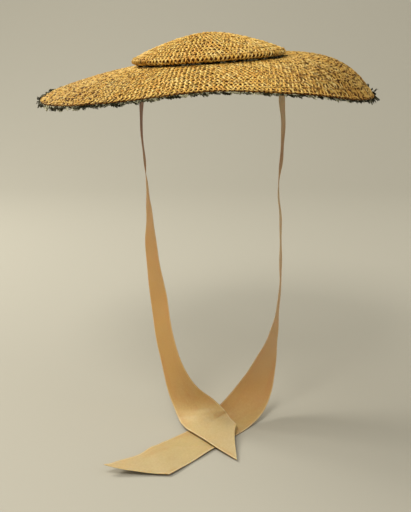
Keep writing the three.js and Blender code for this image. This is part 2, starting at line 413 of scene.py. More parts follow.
def growPiece(name, tree, values, finish, *replaced):
    material, slotName = finish
    piece = bpy.data.objects.new(name, bpy.data.meshes.new(name))
    collection.objects.link(piece)
    modifier = piece.modifiers.new("Grow", "NODES")
    modifier.node_group = tree
    sockets = {item.name: item.identifier for item in tree.interface.items_tree if item.in_out == "INPUT"}
    for label, value in {**values, "Material": material}.items():
        modifier[sockets[label]] = value
    bpy.context.view_layer.update()
    graph = bpy.context.evaluated_depsgraph_get()
    grown = bpy.data.meshes.new_from_object(piece.evaluated_get(graph))
    piece.modifiers.remove(modifier)
    empty = piece.data
    piece.data = grown
    grown.name = name
    bpy.data.meshes.remove(empty)
    print(name, len(grown.polygons), "faces")
    dressPiece(piece, slotName, *replaced)


# Straw plait: flat straws that cross over and under in sewn rows.

plaitRows = {
    "crown": 0.0095,
    "brim": 0.0102,
    "crownHole": 0.004,
}

plait = {
    "Pitch": 0.0048,  # between two straws that lean the same way
    "Straw Width": 0.0036,
    "Waist": 0.5,  # share of the width that is lost in the middle
    "Thickness": 0.0005,
    "Rise": 0.0005,  # how far a straw goes over and under
    "Crossings": 1.0,  # pitches that a straw moves round in its row
    "Overlap": 0.12,  # share of a row that lies on the next ones
    "Row Lift": 0.0001,
    "Segments": 8,
    "Jitter": 0.04,
    "Uneven Width": 0.2,
    "Uneven Lift": 0.0004,
    "Uneven Lean": 0.14,
}

strawSink = 0.0003  # base of the straws under the face of the wall

# painted shade: a dark core between the two faces of straw, coloured like the shade under the plait so the
# gaps between straws look dark
brimShadeCore = {"grid": brimGrid, "top": 0.0007, "bottom": 0.0013}
crownShadeCore = {"grid": crownGrid, "top": 0.0007, "bottom": 0.0013}


def plaitTree():
    maker, given = startTree("Straw plait", {
        "Object": ["Surface"],
        "Int": ["Rows", "Segments", "Seed"],
        "Float": [
            "First Radius", "Last Radius", "Widest Radius", "Pitch", "Straw Width", "Waist", "Thickness",
            "Rise", "Crossings", "Overlap", "Row Lift", "Depth", "Side",
            "Jitter", "Uneven Width", "Uneven Lift", "Uneven Lean",
        ],
        "Material": ["Material"],
    })
    surface = maker.node("GeometryNodeObjectInfo", {"Object": given["Surface"]}, output="Geometry")
    seed = given["Seed"]

    def radiusAt(share):
        radius = given["First Radius"] + (given["Last Radius"] - given["First Radius"]) * share
        return maker.math("MINIMUM", radius, given["Widest Radius"])

    def uneven(amount, step):
        return maker.random(0 - given[amount], given[amount], seed + step)

    # a point for each straw: two families in each row that lean opposite ways
    rows = maker.node("GeometryNodePoints", {"Count": given["Rows"]})
    rows = maker.store(rows, "row", maker.node("GeometryNodeInputIndex"))
    row = maker.attribute("row")
    perRow = maker.math("ROUND", radiusAt((row + 0.5) / given["Rows"]) * math.tau / given["Pitch"])
    starts, strand = maker.duplicate(rows, perRow * 2)
    starts = maker.store(starts, "strand", strand)
    strand = maker.attribute("strand")
    phase = maker.math("FRACT", row * 0.618)  # so that no two rows near each other line up
    around = (maker.math("FLOOR", strand / 2) + phase + uneven("Jitter", 0)) / perRow
    starts = maker.store(starts, "around", around)
    starts = maker.store(starts, "perRow", perRow)
    starts = maker.store(starts, "family", strand % 2)
    starts = maker.store(starts, "tone", maker.random(0.0, 1.0, seed + 1))
    starts = maker.store(starts, "broad", 1 + uneven("Uneven Width", 2))
    starts = maker.store(starts, "proud", uneven("Uneven Lift", 3))
    starts = maker.store(starts, "lean", uneven("Uneven Lean", 4))

    straws, x, y, along = growTubes(maker, starts, given["Segments"])
    across = y / math.sqrt(3)
    height = (x + 0.5) / 1.5
    straws = maker.store(straws, "across", across)

    # where each point of a straw lies on the guide, and how far off it
    family = maker.attribute("family")
    turnsRound = 1 - family * 2
    reach = (along - 0.5) * (given["Overlap"] + 1) + 0.5
    v = maker.math("MINIMUM", (maker.attribute("row") + reach) / given["Rows"], 1.0)
    v = maker.math("MAXIMUM", v, 0.0)
    middle = 1 - maker.math("ABSOLUTE", along * 2 - 1)
    sideways = across * given["Straw Width"] * maker.attribute("broad") * (1 - given["Waist"] * middle)
    shift = turnsRound * (along + maker.attribute("lean") * middle) * given["Crossings"]
    u = maker.attribute("around") + shift / maker.attribute("perRow") + sideways / (radiusAt(v) * math.tau)
    u = maker.math("FRACT", u + 2)
    weave = maker.math("COSINE", (given["Crossings"] * along + family / 2) * math.tau)
    lift = weave * given["Rise"] + (along - 0.5) * 2 * given["Row Lift"] + maker.attribute("proud")
    lift = (lift + height * given["Thickness"] - given["Depth"]) * given["Side"]

    point = sampleGuide(maker, surface, u, v, "position")
    normal = sampleGuide(maker, surface, u, v, "outward")
    placed = maker.vector("ADD", point, maker.scaled(normal, lift))
    straws = maker.node("GeometryNodeSetPosition", {"Geometry": straws, "Position": placed})
    return endTree(maker, straws, given["Material"])


def plaitPiece(name, tree, guide, size, side, seed, finish):
    rows, first, last, widest = size
    growPiece(name, tree, {
        **plait, "Surface": guide, "Rows": rows, "First Radius": first, "Last Radius": last,
        "Widest Radius": widest, "Side": float(side), "Seed": seed,
        "Depth": strawSink if side > 0 else strawSink - brimShape["wall"],
    }, finish)


def makeStraw(finish, shadeCore, brimGuide, crownGuide):
    # the painted-shade cores take the place of the brim and the crown
    shellPiece("brim_backing", brimPoint, brimShadeCore, shadeCore, "brim")
    shellPiece("crown_backing", crownPoint, crownShadeCore, shadeCore, "crown")
    hole, edge = crownShape["openingRadius"], (brimShape["width"] + brimShape["depth"]) / 4
    brimSize = (round((edge - hole) / plaitRows["brim"]), hole, edge, edge)
    crownRows = round(crownLength / plaitRows["crown"])
    crownSize = (crownRows, plaitRows["crownHole"], crownLength, crownShape["lipRadius"])
    tree = plaitTree()
    for side, word in ((1, "top"), (-1, "under")):
        plaitPiece("brim_plait_" + word, tree, brimGuide, brimSize, side, 5, finish)
        plaitPiece("crown_plait_" + word, tree, crownGuide, crownSize, side, 9, finish)


# Frayed silk: strips sewn on, with locks of loose threads.

brimStrip = {
    "grid": (360, 6),
    "top": 0.0021,
    "bottom": 0.0029,
    "inset": 0.008,
    "overhang": 0.0006,
    "waves": (61, 83, 112),
}

bandStrip = {
    "grid": (240, 3),
    "top": -0.0009,
    "bottom": 0.0009,
    "gap": 0.0004,
    "width": 0.0022,
    "ragged": 0.0007,
    "waves": (37, 52),
}

bandFan = {
    "width": 0.036,
    "lift": 0.0017,
    "base": 0.35,
    "fan": 1.3,  # longer threads where the loose end fans out
    "fanAngle": 336,
    "fanSpread": 14,
}

brimFringe = {
    "Locks": 300, "Threads": 9, "Radius": 0.183, "Root": 1.0, "Root Spread": 0.02, "Depth": 0.0020,
    "Length": 0.0062, "Lock Width": 0.006, "Clump": 0.4, "Droop": 0.95, "Droop Spread": 0.9,
    "Follow": 0.0, "Free": 1.0, "Curl": 0.0022, "Loops": 0.6, "Loop Width": 0.009, "Lean": 1.0,
    "Thickness": 0.0008, "Segments": 7, "Seed": 31,
}

bandFringe = {
    "Locks": 130, "Threads": 12, "Radius": 0.08, "Root": 0.06, "Root Spread": 0.05, "Depth": 0.0,
    "Length": 0.014, "Lock Width": 0.006, "Clump": 0.2, "Droop": 0.0, "Droop Spread": 0.0,
    "Follow": 1 / bandFan["width"], "Free": 0.0, "Curl": 0.0012, "Loops": 0.15, "Loop Width": 0.004,
    "Lean": 1.8, "Thickness": 0.0007, "Segments": 7, "Seed": 57,
}

threadHabit = {
    "shortestLock": 0.25,
    "shortLocks": 1.6,  # over 1 makes short locks commoner
    "shortestThread": 0.45,
    "lockTone": 0.6,
    "taper": 0.5,
    "flatness": 0.7,
    "curlTurns": 1.3,
    "bobTurns": 1.7,
    "bob": 0.6,
    "sweepBend": 1.5,
    "droopBend": 1.4,
    "tightest": 0.95,
    # what perk does to a lock
    "perkDark": 0.3,
    "perkClump": 0.4,
    "perkThick": 0.5,
    "perkStand": 0.35,
}


# turn, spread and amount of what changes round the brim's edge
reachBumps = [
    (0.82, 0.15, -0.55),  # short in front
    (0.495, 0.04, 0.4),  # longer at the wearer's right tip
    (0.01, 0.035, 1.5),  # longest at the left tip
]
perkBumps = [
    (0.475, 0.04, 1.0),  # stands out at the right tip
    (0.02, 0.04, 1.5),  # and at the left tip
    (0.25, 0.2, 0.5),  # and a little at the back
]


def nearTurn(u, place, spread):
    away = (u - place + 0.5) % 1 - 0.5
    return math.exp(-((away / spread) ** 2))


def bumpsAt(u, bumps):
    return sum(amount * nearTurn(u, place, spread) for place, spread, amount in bumps)


def tipReach(u):
    return 1 + bumpsAt(u, reachBumps)


def tipPerk(u):
    return bumpsAt(u, perkBumps)


def ragged(u, waves):
    # a closed wobble round the hat, about -1 to 1
    return sum(math.sin(u * math.tau * count + 2.4 * count) for count in waves) / len(waves) * 1.6


def brimStripPoint(u, v):
    edge = edgeRadius(u)
    overhang = brimStrip["overhang"] * (1 + 0.5 * ragged(u, brimStrip["waves"]))
    radius = edge - brimStrip["inset"] + v * (brimStrip["inset"] + overhang)
    past = max(radius - edge, 0)
    # past the edge the strip sags as much as it sticks out
    return brimAt(u, min(radius, edge)) + roundVector(u, past) - Vector((0, 0, past))


def bandStripPoint(u, v):
    width = bandStrip["width"] + bandStrip["ragged"] * ragged(u, bandStrip["waves"])
    radius = crownShape["neckRadius"] + bandStrip["gap"] + v * width
    return roundVector(u, radius, crownShape["neckHeight"] / 2 + seatHeight(u, radius))


def bandPoint(u, v):
    point = brimAt(u, crownShape["neckRadius"] + bandStrip["gap"] + v * bandFan["width"])
    return point + Vector((0, 0, bandFan["lift"]))


def bandReach(u):
    fan = nearTurn(u, bandFan["fanAngle"] / 360, bandFan["fanSpread"] / 360)
    return bandFan["base"] + bandFan["fan"] * fan


def frayTree():
    maker, given = startTree("Frayed silk", {
        "Object": ["Surface"],
        "Int": ["Locks", "Threads", "Segments", "Seed"],
        "Float": [
            "Radius", "Root", "Root Spread", "Depth", "Length", "Lock Width", "Clump", "Droop",
            "Droop Spread", "Follow", "Free", "Curl", "Loops", "Loop Width", "Lean", "Thickness",
        ],
        "Material": ["Material"],
    })
    surface = maker.node("GeometryNodeObjectInfo", {"Object": given["Surface"]}, output="Geometry")
    seed, habit = given["Seed"], threadHabit

    # a point for each lock, then one for each of its threads
    locks = maker.node("GeometryNodePoints", {"Count": given["Locks"]})
    index = maker.node("GeometryNodeInputIndex")
    lockReach = maker.random(0.0, 1.0, seed + 1) ** habit["shortLocks"]
    lockReach = lockReach * (1 - habit["shortestLock"]) + habit["shortestLock"]
    locks = maker.store(locks, "lockTurn", (index + maker.random(-0.5, 0.5, seed)) / given["Locks"])
    locks = maker.store(locks, "lockReach", lockReach)
    locks = maker.store(locks, "lockDroop", maker.random(-0.5, 0.5, seed + 2))
    locks = maker.store(locks, "lockLean", maker.random(-1.0, 1.0, seed + 3))
    locks = maker.store(locks, "lockTone", maker.random(0.0, 1.0, seed + 10))
    threads, _ = maker.duplicate(locks, given["Threads"])
    tone = maker.random(0.0, 1.0, seed + 8) * (1 - habit["lockTone"])
    tone = tone + maker.attribute("lockTone") * habit["lockTone"]
    looped = maker.math("LESS_THAN", maker.random(0.0, 1.0, seed + 9), given["Loops"])
    threads = maker.store(threads, "offset", maker.random(-0.5, 0.5, seed + 4))
    threads = maker.store(threads, "reachShare", maker.random(habit["shortestThread"], 1.0, seed + 5))
    threads = maker.store(threads, "phase", maker.random(0.0, 1.0, seed + 6))
    threads = maker.store(threads, "rootShare", maker.random(0.0, 1.0, seed + 7))
    threads = maker.store(threads, "tone", tone)
    threads = maker.store(threads, "loop", looped)
    threads, x, y, along = growTubes(maker, threads, given["Segments"])

    # how long a thread is and how far each of its points has come
    lockTurn, phase, loop = maker.attribute("lockTurn"), maker.attribute("phase"), maker.attribute("loop")
    lockPlace = maker.math("FRACT", lockTurn + 1)
    byRim, insideRim = 0.98, 0.93
    reach = sampleGuide(maker, surface, lockPlace, byRim, "reach", "FLOAT")
    perk = sampleGuide(maker, surface, lockPlace, byRim, "perk", "FLOAT")
    threads = maker.store(threads, "tone", maker.attribute("tone") * (1 - perk * habit["perkDark"]))
    length = given["Length"] * maker.attribute("lockReach") * maker.attribute("reachShare") * reach
    away = along + (maker.math("SINE", along * math.pi) - along) * loop

    # round the hat: the lock's width, its curl and its lean
    clump = maker.math("MINIMUM", given["Clump"] + perk * habit["perkClump"], habit["tightest"])
    spread = maker.attribute("offset") * given["Lock Width"] * (1 - clump * away)
    spread = spread + (along - 0.5) * given["Loop Width"] * loop
    curl = maker.math("SINE", (along * habit["curlTurns"] + phase) * math.tau) * given["Curl"] * away
    sweep = maker.attribute("lockLean") * given["Lean"] * length * away ** habit["sweepBend"]
    u = maker.math("FRACT", lockTurn + (spread + curl + sweep) / (given["Radius"] * math.tau) + 1)
    v = given["Root"] - maker.attribute("rootShare") * given["Root Spread"] + given["Follow"] * length * away
    v = maker.math("MINIMUM", v, 1.0)

    # off the edge: forwards, down and up
    root = sampleGuide(maker, surface, u, v, "position")
    normal = sampleGuide(maker, surface, u, v, "outward")
    rim = sampleGuide(maker, surface, u, 1.0, "position")
    inside = sampleGuide(maker, surface, u, insideRim, "position")
    outwards = maker.vector("NORMALIZE", maker.vector("SUBTRACT", rim, inside))
    aside = maker.vector("CROSS_PRODUCT", outwards, normal)
    droop = given["Droop"] * (1 - perk) + maker.attribute("lockDroop") * given["Droop Spread"]
    bob = maker.math("COSINE", (along * habit["bobTurns"] + phase) * math.tau)
    bob = bob * given["Curl"] * away * habit["bob"]
    thick = given["Thickness"] * (1 - along * habit["taper"]) * (1 + perk * habit["perkThick"])
    forward = maker.math("COSINE", droop) * length * away * given["Free"] + x * thick * habit["flatness"]
    fall = maker.math("SINE", droop) * length * away ** habit["droopBend"]
    down = bob - fall + x * thick * habit["flatness"]
    stand = perk * length * away * habit["perkStand"]
    placed = maker.vector("ADD", root, maker.scaled(normal, stand - given["Depth"]))
    placed = maker.vector("ADD", placed, maker.scaled(outwards, forward))
    placed = maker.vector("ADD", placed, maker.combine(z=down))
    placed = maker.vector("ADD", placed, maker.scaled(aside, y * thick))
    threads = maker.node("GeometryNodeSetPosition", {"Geometry": threads, "Position": placed})
    return endTree(maker, threads, given["Material"])


def makeSilkTrim(finish, brimGuide, bandGuide):
    tree = frayTree()
    shellPiece("brim_edging_strip", brimStripPoint, brimStrip, finish, "brim_edging")
    shellPiece("crown_band_strip", bandStripPoint, bandStrip, finish, "crown_band")
    growPiece("brim_fringe", tree, {"Surface": brimGuide, **brimFringe}, finish)
    growPiece("crown_band_fray", tree, {"Surface": bandGuide, **bandFringe}, finish)


# Materials.

def newMaterial(name):
    material = bpy.data.materials.new(name)
    material.use_nodes = True
    return material, TreeMaker(material.node_tree), material.node_tree.nodes["Principled BSDF"]


def mottleGroup():
    # soft noise, and a mask where it goes from Low to High
    tree = bpy.data.node_groups.new("Mottle", "ShaderNodeTree")
    tree.interface.new_socket("Place", in_out="INPUT", socket_type="NodeSocketVector")
    for label in ("Scale", "Detail", "Low", "High"):
        tree.interface.new_socket(label, in_out="INPUT", socket_type="NodeSocketFloat")
    for label in ("Value", "Mask"):
        tree.interface.new_socket(label, in_out="OUTPUT", socket_type="NodeSocketFloat")
    maker = TreeMaker(tree)
    source = tree.nodes.new("NodeGroupInput")
    place, scale, detail, low, high = [Field(maker, socket) for socket in source.outputs[:5]]
    value = maker.node("ShaderNodeTexNoise", {"Vector": place, "Scale": scale, "Detail": detail})
    output = tree.nodes.new("NodeGroupOutput")
    maker.plug(output.inputs["Value"], value)
    maker.plug(output.inputs["Mask"], maker.span(value, low, high))
    return tree


mottleTree = mottleGroup()


def mottle(maker, place, scale, detail, output="Value", low=0.0, high=1.0):
    made = maker.tree.nodes.new("ShaderNodeGroup")
    made.node_tree = mottleTree
    values = {"Place": place, "Scale": scale, "Detail": detail, "Low": low, "High": high}
    for label, value in values.items():
        maker.plug(made.inputs[label], value)
    return Field(maker, made.outputs[output])


def objectPlace(maker):
    return maker.node("ShaderNodeTexCoord", output="Object")


def shaderAttribute(maker, name):
    return maker.node("ShaderNodeAttribute", output="Fac", attribute_name=name)


def ramp(maker, factor, stops):
    made = maker.tree.nodes.new("ShaderNodeValToRGB")
    elements = made.color_ramp.elements
    while len(elements) < len(stops):
        elements.new(0.5)
    for element, (place, colour) in zip(elements, stops):
        element.position = place
        element.color = (*colour, 1)
    maker.plug(made.inputs["Fac"], factor)
    return Field(maker, made.outputs["Color"])


def mixColour(maker, factor, a, b, blend="MIX"):
    made = maker.tree.nodes.new("ShaderNodeMix")
    made.data_type = "RGBA"
    made.blend_type = blend
    maker.plug(made.inputs[0], factor)
    maker.plug(made.inputs[6], a)
    maker.plug(made.inputs[7], (*b, 1))
    return Field(maker, made.outputs[2])


def finishShader(maker, shader, colour, look):
    maker.plug(shader.inputs["Base Color"], colour)
    shader.inputs["Roughness"].default_value = look["roughness"]
    shader.inputs["Specular IOR Level"].default_value = look["specular"]


def addBump(maker, shader, height, look):
    inputs = {"Strength": look["bump"], "Distance": look["bumpDepth"], "Height": height}
    maker.plug(shader.inputs["Normal"], maker.node("ShaderNodeBump", inputs))


strawLook = {
    "tones": [
        (0.0, (0.34, 0.12, 0.012)), (0.3, (0.70, 0.37, 0.055)),
        (0.6, (0.87, 0.59, 0.145)), (1.0, (1.0, 0.86, 0.41)),
    ],
    "ownTone": 0.42,
    "cloud": 0.4,
    "fleck": 0.45,
    "darken": 0.12,
    "green": (0.50, 0.36, 0.05),
    "red": (0.62, 0.27, 0.05),
    "patch": 0.45,
    "scales": {"cloud": 28, "fleck": 560, "patch": 330, "gapShade": 400},
    "ranges": {"green": (0.56, 0.68), "red": (0.44, 0.32), "gapShade": (0.54, 0.6)},
    # painted shade where the straws tuck into the seams between rows
    "endShade": (0.42, 0.20, 0.05),  # at the ends of each straw
    "endShadeStrength": 0.35,
    # painted shade: the dark of the gaps where straws dip under their neighbours
    "gapShade": (0.075, 0.018, 0.002),
    "gapShadeStrength": 0.5,
    "gapShadeRoughness": 0.5,
    # painted shade: the straw is darker, with more painted gap shade, towards both side tips, most at the
    # wearer's left tip
    "tipFrom": 0.05,
    "tipTo": 0.14,
    "tipGapShade": 0.45,
    "tipShadeColour": (0.62, 0.58, 0.52),
    "tipShade": 0.7,
    "tipLean": 0.2,
    "fibres": 60,
    "roughness": 0.42,
    "specular": 0.3,
    "bump": 0.25,
    "bumpDepth": 0.0001,
}


def strawMaterial():
    material, maker, shader = newMaterial("straw")
    look, place = strawLook, objectPlace(maker)
    scales, ranges = look["scales"], look["ranges"]
    tone, along, across = [shaderAttribute(maker, name) for name in ("tone", "along", "across")]
    cloud = mottle(maker, place, scales["cloud"], 3)
    fleck = mottle(maker, place, scales["fleck"], 2)
    mottled = tone * look["ownTone"] + cloud * look["cloud"] + fleck * look["fleck"] - look["darken"]
    colour = ramp(maker, mottled, look["tones"])
    green = mottle(maker, place, scales["patch"], 1, "Mask", *ranges["green"])
    red = mottle(maker, place, scales["patch"], 1, "Mask", *ranges["red"])
    colour = mixColour(maker, green * look["patch"], colour, look["green"])
    colour = mixColour(maker, red * look["patch"], colour, look["red"])
    # painted shade: darker at both ends of each straw, where it tucks into the seam between rows
    ends = maker.math("ABSOLUTE", along * 2 - 1)
    colour = mixColour(maker, (ends ** 4) * look["endShadeStrength"], colour, look["endShade"], "MULTIPLY")
    x, _, _ = maker.separate(place)
    tips = maker.span(maker.math("ABSOLUTE", x), look["tipFrom"], look["tipTo"])
    # painted shade: dark red-brown patches, stretched along Y, for the shaded gaps where straws dip under
    # their neighbours; rougher there too
    stretched = maker.vector("MULTIPLY", place, (1, 0.3, 1))
    dark = mottle(maker, stretched, scales["gapShade"], 1, "Mask", *ranges["gapShade"])
    strength = look["gapShadeStrength"] + tips * look["tipGapShade"]
    colour = mixColour(maker, dark * strength, colour, look["gapShade"])
    # painted shade towards the side tips, stronger on the wearer's left
    shade = look["tipShade"] + maker.math("SIGN", x) * look["tipLean"]
    colour = mixColour(maker, tips * shade, colour, look["tipShadeColour"], "MULTIPLY")
    finishShader(maker, shader, colour, look)
    maker.plug(shader.inputs["Roughness"], look["roughness"] + dark * look["gapShadeRoughness"])
    fibres = maker.math("SINE", across * look["fibres"] + tone * 9)
    addBump(maker, shader, fibres * 0.5 + fleck, look)
    return material


# painted shade: the core's dark brown stands in for the shade seen through the gaps in the plait
shadeCoreLook = {
    "tones": [(0.3, (0.05, 0.013, 0.002)), (0.7, (0.11, 0.033, 0.007))],
    "scales": {"cloud": 300, "grain": 1200},
    "roughness": 0.85,
    "specular": 0.1,
    "bump": 0.4,
    "bumpDepth": 0.0003,
}


def shadeCoreMaterial():
    material, maker, shader = newMaterial("straw_shade_core")
    place = objectPlace(maker)
    scales = shadeCoreLook["scales"]
    colour = ramp(maker, mottle(maker, place, scales["cloud"], 3), shadeCoreLook["tones"])
    finishShader(maker, shader, colour, shadeCoreLook)
    addBump(maker, shader, mottle(maker, place, scales["grain"], 2), shadeCoreLook)
    return material


frayedLook = {
    # the dark silk's tones; the pale ones from about 0.6 up are painted highlights, glints laid into a share
    # of the threads
    "tones": [
        (0.0, (0.011, 0.010, 0.003)), (0.45, (0.022, 0.021, 0.007)), (0.57, (0.07, 0.065, 0.03)),
        (0.65, (0.50, 0.48, 0.31)), (1.0, (0.80, 0.76, 0.54)),
    ],
    "ownTone": 0.8,
    "cloud": 0.45,
    "cloudScale": 260,
    "darken": 0.12,
    "roughness": 0.6,
    "specular": 0.1,
}


def frayedMaterial():
    material, maker, shader = newMaterial("frayed_silk")
    look = frayedLook
    cloud = mottle(maker, objectPlace(maker), look["cloudScale"], 3)
    tone = shaderAttribute(maker, "tone") * look["ownTone"] + cloud * look["cloud"] - look["darken"]
    finishShader(maker, shader, ramp(maker, tone, look["tones"]), look)
    return material


ribbonLook = {
    # from the sewn end to the cut end: darker and warmer towards the sewn end, painted shade under the hat
    # and painted reflection off the straw with some of the silk's own stain, paler at the cut end
    "shadeAndStainAlong": [
        (0.0, (0.36, 0.175, 0.024)), (0.5, (0.38, 0.185, 0.028)), (0.72, (0.46, 0.27, 0.07)),
        (0.86, (0.58, 0.45, 0.22)), (1.0, (0.60, 0.49, 0.28)),
    ],
    "cloud": (0.46, 0.30, 0.11),
    "grain": (0.30, 0.16, 0.04),
    "warm": (0.42, 0.18, 0.05),
    "selvage": (0.78, 0.66, 0.42),
    "hem": (0.22, 0.10, 0.02),
    # painted shade, dark red, and painted light, cream, on the upper parts of the ribbons
    "paintedShadeRed": (0.16, 0.035, 0.008),
    "paintedLightCream": (0.82, 0.72, 0.45),
    "scales": {"cloud": 22, "grain": 520},
    "streaks": (3, 11),  # over the width and along the ribbon
    "ranges": {"warm": (0.52, 0.75), "selvage": (0.93, 0.97), "hem": (0.975, 0.99)},
    "weft": 9000,
    "warp": 620,
    "roughness": 0.5,
    "specular": 0.3,
    "glow": 0.6,
    "glowRadius": (1.0, 0.6, 0.3),
    "glowScale": 0.002,
    "bump": 0.12,
    "bumpDepth": 0.00012,
}


def ribbonMaterial():
    material, maker, shader = newMaterial("silk_ribbon")
    look, ranges, place = ribbonLook, ribbonLook["ranges"], objectPlace(maker)
    across, along, _ = maker.separate(maker.node("ShaderNodeUVMap", output="UV", uv_map="UVMap"))
    cloud = mottle(maker, place, look["scales"]["cloud"], 4)
    grain = mottle(maker, place, look["scales"]["grain"], 2)
    streaks = maker.combine(across * look["streaks"][0], along * look["streaks"][1])
    warm = mottle(maker, streaks, 1, 3, "Mask", *ranges["warm"])
    side = maker.math("ABSOLUTE", across * 2 - 1)
    shadeAndLight = shaderAttribute(maker, "shadeAndLight")
    # painted shade and reflection along the ribbon, with some of the silk's own stain
    colour = ramp(maker, along, look["shadeAndStainAlong"])
    for amount, paint in (
        (cloud * 0.5, "cloud"),
        (grain * 0.5 - 0.1, "grain"),
        (warm * 0.45, "warm"),
        (maker.span(side, *ranges["selvage"]) * 0.5, "selvage"),
        (maker.span(side, *ranges["hem"]) * 0.6, "hem"),
        # painted shade where the value is over 0 and painted light where it is under 0
        (maker.math("MAXIMUM", shadeAndLight, 0.0), "paintedShadeRed"),
        (maker.math("MAXIMUM", 0 - shadeAndLight, 0.0), "paintedLightCream"),
    ):
        colour = mixColour(maker, amount, colour, look[paint])
    finishShader(maker, shader, colour, look)
    shader.inputs["Subsurface Weight"].default_value = look["glow"]
    shader.inputs["Subsurface Radius"].default_value = look["glowRadius"]
    shader.inputs["Subsurface Scale"].default_value = look["glowScale"]
    weft = maker.math("SINE", along * look["weft"])
    warp = maker.math("SINE", across * look["warp"])
    addBump(maker, shader, weft * 0.5 + warp * 0.3 + cloud, look)
    return material


# Ribbons.

ribbonShape = {
    "width": 0.050,
    "thickness": 0.0004,
    "spread": 0.078,
    "tailReach": 0.200,
    "fall": 0.395,
    "sewnGap": 0.00045,
    "wave": 0.0005,
    "flutter": 0.0003,
    "crease": 0.0007,
    "creaseWidth": 0.16,
    # rows before the end, slant over the width, height
    "creases": [(2.5, 0.5, 1), (1.3, -0.4, -0.8), (0.55, 0.25, 0.9)],
    "steps": 12,
    "columns": 18,
    "sharpAngle": 40,
}

# A row of a path is side, front and fall as shares of the spread, the tail's reach and the fall,
# the turn and lift of the width in degrees, and the painted shade and light: dark red painted shade over 0
# and cream painted light under it.

rightRibbon = {
    "name": "ribbon_right_silk",
    "node": "ribbon_right",
    "cut": 0.040,
    "shortSide": 1,
    "path": [
        (-1.2, -0.04, 0.02, 0, 0, 0.7),
        (-1.02, -0.04, 0.02, 0, 0, 0.7),
        (-0.965, -0.04, 0.04, -1, 5, 0.7),
        (-0.97, -0.03, 0.1, -1, 7, 0.7),
        (-0.985, -0.01, 0.18, 0, 8, 0.6),
        (-0.94, 0.02, 0.27, 2, 10, 0.1),
        (-0.9, 0.05, 0.355, 5, 12, 0),
        (-0.875, 0.08, 0.43, 12, 14, 0),
        (-0.84, 0.13, 0.53, 19, 17, 0),
        (-0.74, 0.21, 0.66, 25, 21, 0),
        (-0.62, 0.31, 0.785, 28, 26, 0),
        (-0.43, 0.4, 0.89, 38, 31, 0),
        (-0.21, 0.45, 0.945, 70, 30, 0),
        (-0.065, 0.505, 0.97, 103, 17, 0),
        (0.07, 0.565, 0.981, 130, 6, 0),
        (0.48, 0.8, 0.992, 160, 4, 0),
    ],
}

leftRibbon = {
    "name": "ribbon_left_silk",
    "node": "ribbon_left",
    "cut": 0.036,
    "shortSide": -1,
    "path": [
        (1.3, -0.06, -0.01, -8, 0, -0.5),
        (1.12, -0.06, -0.01, -8, 0, -0.5),
        (1.055, -0.05, 0.015, -10, 5, -0.5),
        (1.06, -0.03, 0.095, -11, 7, -0.5),
        (1.08, -0.01, 0.18, -10, 8, -0.3),
        (1.06, 0.015, 0.27, -7, 9, 0.3),
        (1.02, 0.035, 0.355, -6, 10, -0.2),
        (1.05, 0.06, 0.435, -6, 11, -0.3),
        (1.06, 0.1, 0.53, -7, 13, -0.3),
        (1.05, 0.145, 0.63, -7, 15, -0.2),
        (1.0, 0.195, 0.725, -9, 19, -0.2),
        (0.92, 0.24, 0.795, -22, 23, -0.2),
        (0.775, 0.295, 0.875, -43, 25, -0.2),
        (0.575, 0.36, 0.945, -73, 21, -0.1),
        (0.265, 0.47, 0.993, -103, 5, 0),
        (-0.12, 0.66, 0.997, -118, 1, 0),
        (-0.46, 0.84, 0.993, -126, 4, 0),
        (-0.77, 1.0, 0.991, -130, 6, 0),
        (-1.113, 1.119, 0.987, -121, 11, 0),
    ],
}


def pathColumn(values, place):
    last = len(values) - 1
    first = min(int(place), last - 1)
    near = [values[min(max(first + step, 0), last)] for step in (-1, 0, 1, 2)]
    return smoothBetween(*near, place - first)


def pathPoint(side, front, fall):
    reach = ribbonShape["tailReach"]
    return Vector((side * ribbonShape["spread"], -front * reach, -fall * ribbonShape["fall"]))


def ribbonSurface(path):
    # place runs along the rows of the path, across goes from -1 to 1
    sides, fronts, falls, turns, lifts, _ = zip(*path)
    sewn = [1, 1] + [0] * (len(path) - 2)
    depth = brimShape["wall"] + ribbonShape["sewnGap"] + ribbonShape["thickness"]

    def surface(place, across):
        turn = math.radians(pathColumn(turns, place))
        lift = math.radians(pathColumn(lifts, place))
        width = Vector((math.sin(turn) * math.cos(lift), -math.cos(turn) * math.cos(lift), math.sin(lift)))
        middle = pathPoint(*[pathColumn(values, place) for values in (sides, fronts, falls)])
        point = middle + width * (across * ribbonShape["width"] / 2)
        # the sewn end lies against the underside of the brim
        radius = math.hypot(point.x, point.y)
        share = (radius - crownShape["neckRadius"]) / (edgeRadius(0) - crownShape["neckRadius"])
        around = math.atan2(point.y, point.x) / math.tau
        seat = brimAt(around, radius) - normalAt(brimPoint, around, max(share, 0.01)) * depth
        point.z = mix(point.z, seat.z, min(max(pathColumn(sewn, place), 0), 1))
        return point

    return surface


def wrinkle(place, across, last):
    # soft waves, a flutter of the edges and creases near the cut end, none where the ribbon is sewn
    free = min(max(place - 2, 0), 1)
    wave = math.sin(place * 4.3 + across * 1.1) * math.sin(place * 1.7 + 2)
    flutter = across ** 4 * math.sin(place * 3.7 + across * 2)
    crease = sum(
        height * math.exp(-(((place - (last - before) - slant * across) / ribbonShape["creaseWidth"]) ** 2))
        for before, slant, height in ribbonShape["creases"]
    )
    waves = ribbonShape["wave"] * wave + ribbonShape["flutter"] * flutter + ribbonShape["crease"] * crease
    return free * waves


